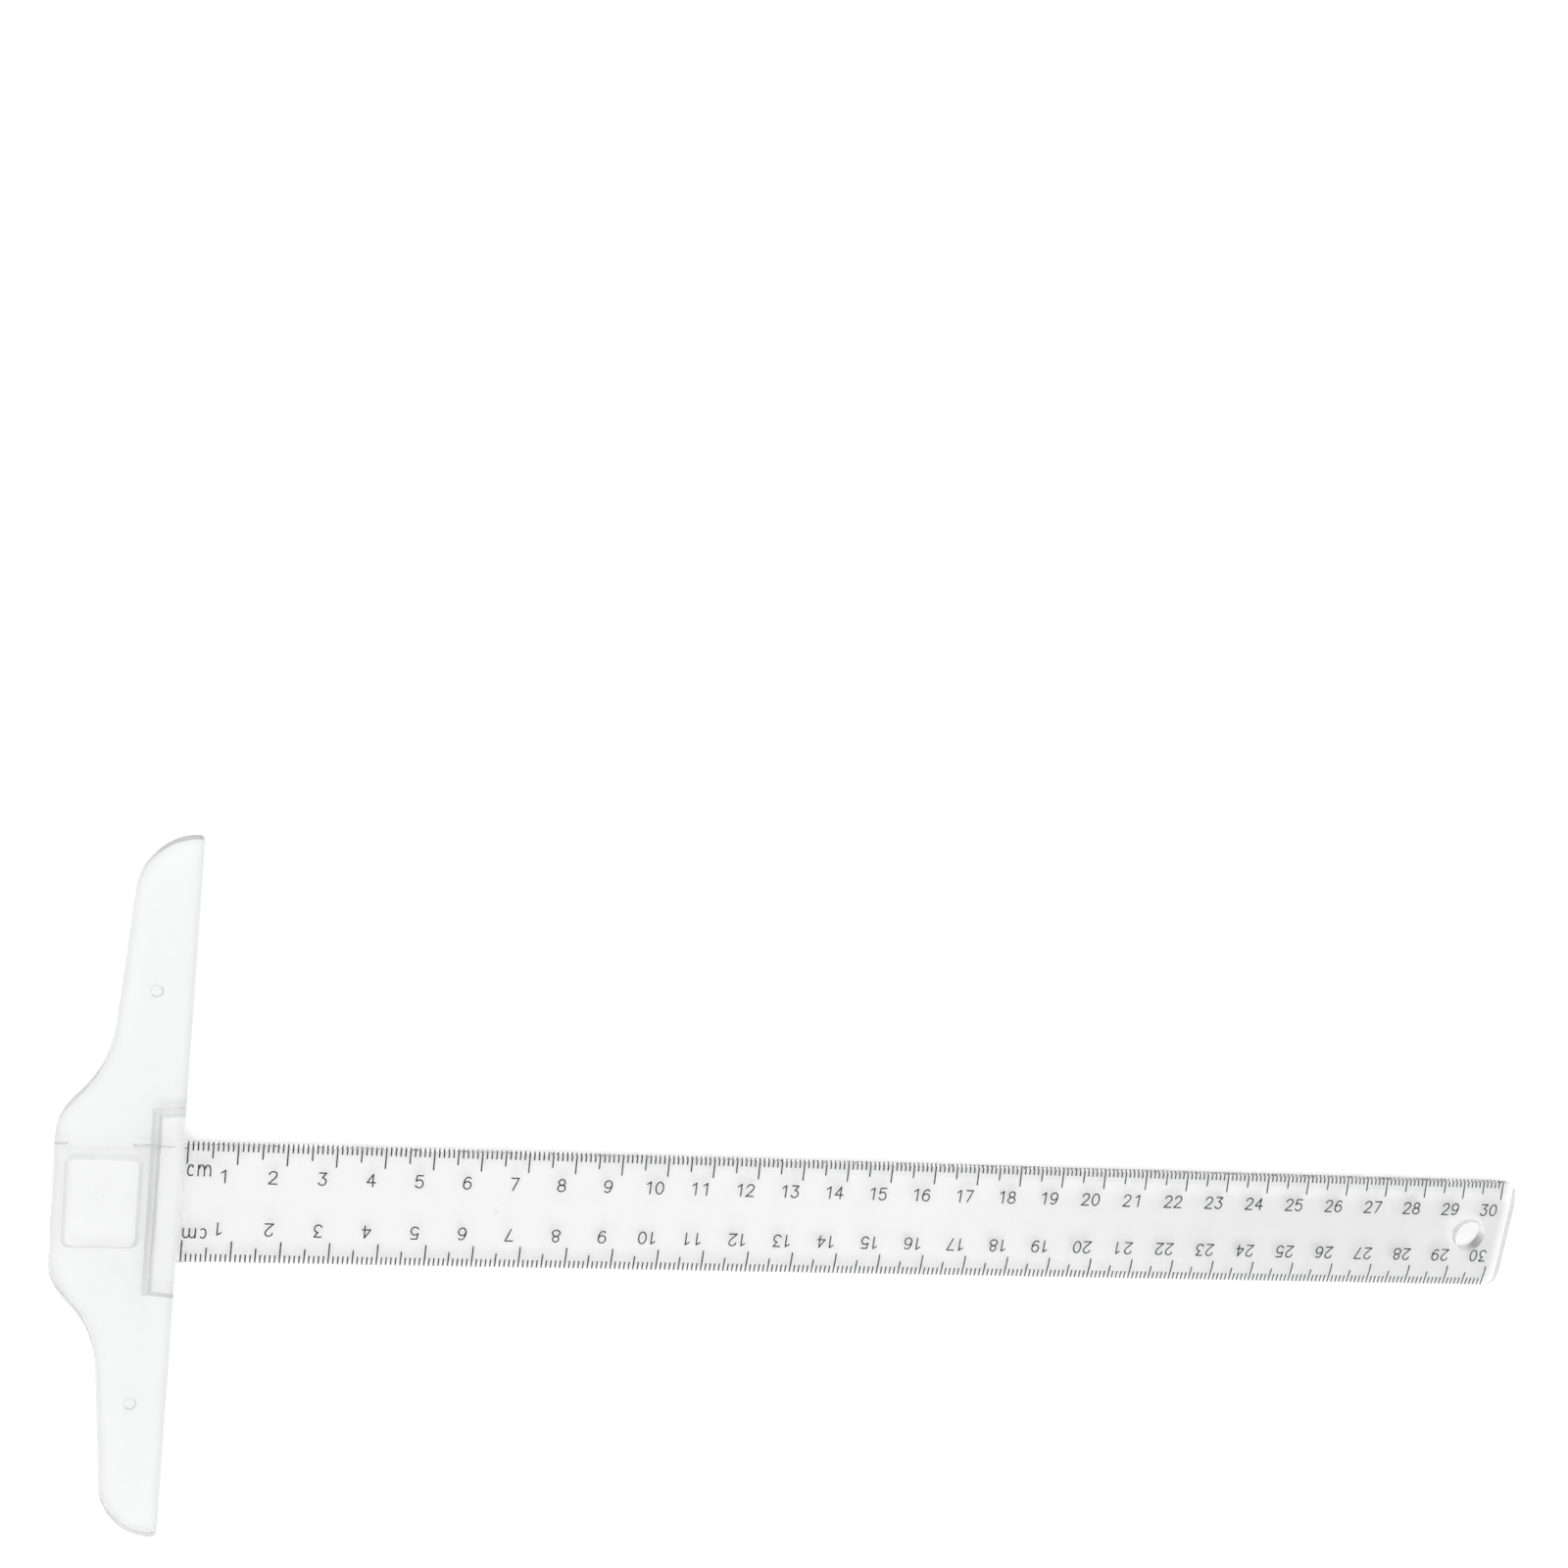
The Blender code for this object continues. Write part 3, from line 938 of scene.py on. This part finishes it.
def blade_face(at, way):
    if blade_joint(at, way):
        return CEMENTED
    if at.x > EDGE_X:
        if abs(way.z) > 0.5:
            return PLAIN
        if math.hypot(at.x - HOLE_X, at.y) < HOLE_RADIUS + 0.1:
            return FROSTED
        # Painted shade: side walls that don't face out past the tip get the soft painted shade.
        return PLAIN if way.x > 0.1 else SOFT
    if in_seam(at, way) and at.z < HEAD_TOP:
        return FROSTED
    if not is_slope(way):
        return PLAIN
    if at.x > EDGE_X - FOOT_DEPTH - 0.5:  # the foot's slopes: painted shade, deeper on its back slope than on its sides
        return MIDDLE if abs(way.x) < abs(way.y) or way.z > 0.8 else DEEP
    facing = way.y if abs(way.y) > abs(way.x) else way.x  # the panel's slopes: painted shade, darker where they face +x or +y
    return MIDDLE if facing > 0 else SOFT


# %% The materials on both pieces
SHARP_ANGLE = math.radians(8)  # flatter edges than this are shaded as one curve

for piece, plastic, kind_of in ((head, head_plastic, head_face), (blade, blade_plastic, blade_face)):
    mesh = piece.data
    mesh.polygons.foreach_set("use_smooth", [True] * len(mesh.polygons))
    mesh.set_sharp_from_angle(angle=SHARP_ANGLE)
    mesh.materials.clear()
    for material in (plastic.material, *finishes):
        mesh.materials.append(material)
    counts = [0] * len(mesh.materials)
    for face in mesh.polygons:
        face.material_index = kind_of(face.center / MM, face.normal)
        counts[face.material_index] += 1
    print(piece.name, "faces: plain, soft, middle, deep, frosted, cemented:", counts)

# %% [markdown]
# ## Joining the pieces to the model
# Each piece is attached to the body it moves with, and the imported parts that the two pieces replace are
# hidden. The T square has no joints, so everything rides on one body.

# %% Names and bodies
blade.name = "blade_plate"
for piece, slot in ((head, "head_plastic"), (blade, "blade_plastic")):
    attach(piece, "root")
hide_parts("head")
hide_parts("blade")
for piece in (scale_upper, scale_lower, numbers_upper, numbers_lower):
    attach(piece, "root")

# %% [markdown]
# ## Table, light and camera
# Clear things show what is around them, so the set is plain: a wide white table and a white sky. Around
# a real table the walls are darker than the lamps overhead, so the sky fades towards the horizon, and one
# dimmer patch on the far side darkens the print near the tip. Where the camera sees the sky itself it is
# plain white, as a paper backdrop is. One large soft lamp above gives the bevels a gentle gradient.
# Light bounces many times inside a clear bar before it gets out, so the limits on bounces are raised, or
# long edges would go black.

# %% A white table
TABLE_HALF = 3.0  # metres
TABLE_LEVEL = -0.00005  # a hair under the head, so that the two don't flicker

table_mesh = bpy.data.meshes.new("table")
corners = box_outline(-TABLE_HALF, TABLE_HALF, TABLE_HALF)
table_mesh.from_pydata([(x, y, TABLE_LEVEL) for x, y in corners], [], [(0, 1, 2, 3)])
table = bpy.data.objects.new("table", table_mesh)
bpy.context.scene.collection.objects.link(table)
table_top = Finish("table_top", Base_Color=(0.98, 0.98, 0.98, 1.0), Roughness=0.8, Specular_IOR_Level=0.2)
table_mesh.materials.append(table_top.material)
print("table:", [round(side, 2) for side in table.dimensions], "m")

# %% A white sky, darker at the horizon and in one patch
HORIZON, OVERHEAD = 0.08, 1.54  # brightness
OVERHEAD_FROM = 0.6  # the height, as a part of 1, where the sky reaches its full brightness
DIM_PATCH_WAY = Vector((0.52, -0.38, 0.765)).normalized()
DIM_PATCH_EDGE, DIM_PATCH_CORE = 0.97, 0.998  # cosines of the angle from its middle
DIM_PATCH = 0.5

scene = bpy.context.scene
scene.world = bpy.data.worlds.new("white_sky")
scene.world.use_nodes = True
sky = scene.world.node_tree
background = sky.nodes["Background"]
background.inputs["Color"].default_value = (1.0, 1.0, 1.0, 1.0)
direction = node(sky, "ShaderNodeTexCoord").outputs["Generated"]
height = Field(sky, node(sky, "ShaderNodeSeparateXYZ", Vector=direction).outputs["Z"])
glow = HORIZON + (OVERHEAD - HORIZON) * height.ramp(0.0, OVERHEAD_FROM)
facing = node(sky, "ShaderNodeVectorMath", {"operation": "DOT_PRODUCT"}, _0=direction, _1=DIM_PATCH_WAY)
patch = Field(sky, facing.outputs["Value"]).ramp(DIM_PATCH_EDGE, DIM_PATCH_CORE)
strength = glow * (1.0 - (1.0 - DIM_PATCH) * patch)
backdrop = Field(sky, node(sky, "ShaderNodeLightPath").outputs["Is Camera Ray"])
strength = backdrop + (1.0 - backdrop) * strength
sky.links.new(strength.socket, background.inputs["Strength"])
print("sky:", len(sky.nodes), "nodes")

# %% One soft lamp, and the limits on bounces
LAMP_PLACE = Vector((-0.4, 0.9, 1.3))
BOUNCES = 32

lamp_data = bpy.data.lights.new("soft_lamp", "AREA")
lamp_data.shape = "RECTANGLE"
lamp_data.size, lamp_data.size_y = 1.6, 1.0
lamp_data.energy = 3.0
lamp = bpy.data.objects.new("soft_lamp", lamp_data)
lamp.location = LAMP_PLACE
lamp.rotation_euler = (-LAMP_PLACE).to_track_quat("-Z", "Y").to_euler()
scene.collection.objects.link(lamp)
scene.view_settings.view_transform = "Standard"
scene.cycles.max_bounces = BOUNCES
scene.cycles.transmission_bounces = BOUNCES
scene.cycles.transparent_max_bounces = BOUNCES
scene.cycles.glossy_bounces = 24
print("lamp:", lamp_data.energy, "W")

# %% The camera, above the head and looking down the blade
CAMERA_PLACE = Vector((-139.377, 221.778, 445.508)) * MM
CAMERA_AIM = Vector((-24.094, 97.087, 0.0)) * MM
CAMERA_ROLL = 143.21  # degrees

camera_data = bpy.data.cameras.new("camera")
camera_data.sensor_width = 36.0
camera_data.lens = 52.89
camera_data.clip_start = 0.01
camera_data.clip_end = 50.0
camera = bpy.data.objects.new("camera", camera_data)
scene.collection.objects.link(camera)
level_view = (CAMERA_AIM - CAMERA_PLACE).to_track_quat("-Z", "Y")
camera.location = CAMERA_PLACE
camera.rotation_mode = "QUATERNION"
camera.rotation_quaternion = level_view @ Quaternion((0.0, 0.0, 1.0), math.radians(CAMERA_ROLL))
scene.camera = camera
print("camera", round((CAMERA_AIM - CAMERA_PLACE).length, 3), "m from what it looks at")
